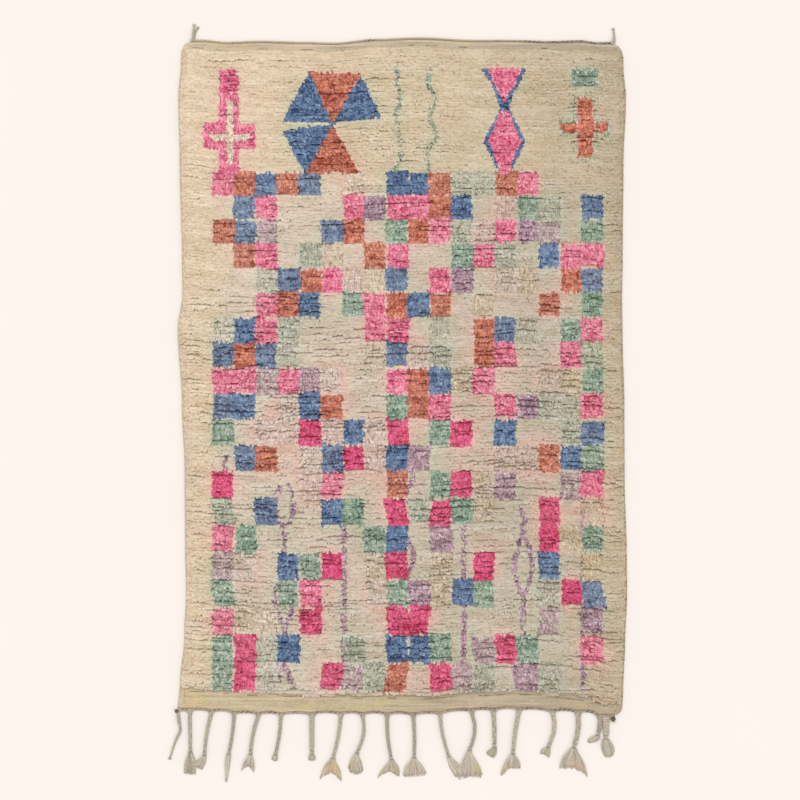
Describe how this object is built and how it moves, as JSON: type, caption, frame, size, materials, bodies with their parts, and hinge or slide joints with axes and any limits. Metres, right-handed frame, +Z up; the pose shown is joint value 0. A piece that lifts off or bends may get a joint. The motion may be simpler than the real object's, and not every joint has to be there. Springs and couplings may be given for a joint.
{
  "type": "berber rug",
  "caption": "Long-pile wool rug lying flat, with woven selvedges, a corded top edge and a row of braided, tasselled fringe strands.",
  "frame": {"origin": "centre of the whole rug's footprint, fringe and ties included, on the floor", "axes": "+Z up out of the pile, +Y along the rug's length towards its corded starting end, with the fringe towards -Y, +X across"},
  "size_m": [1.652, 2.7404, 0.0248],
  "materials": {
    "wool_pile": "matte long cream wool pile with coloured motifs",
    "wool_warp": "matte grey-beige twisted and braided wool"
  },
  "bodies": {
    "root": {"rug_body": "wool_pile", "top_cord": "wool_warp", "fringe": "wool_warp"}
  },
  "joints": []
}
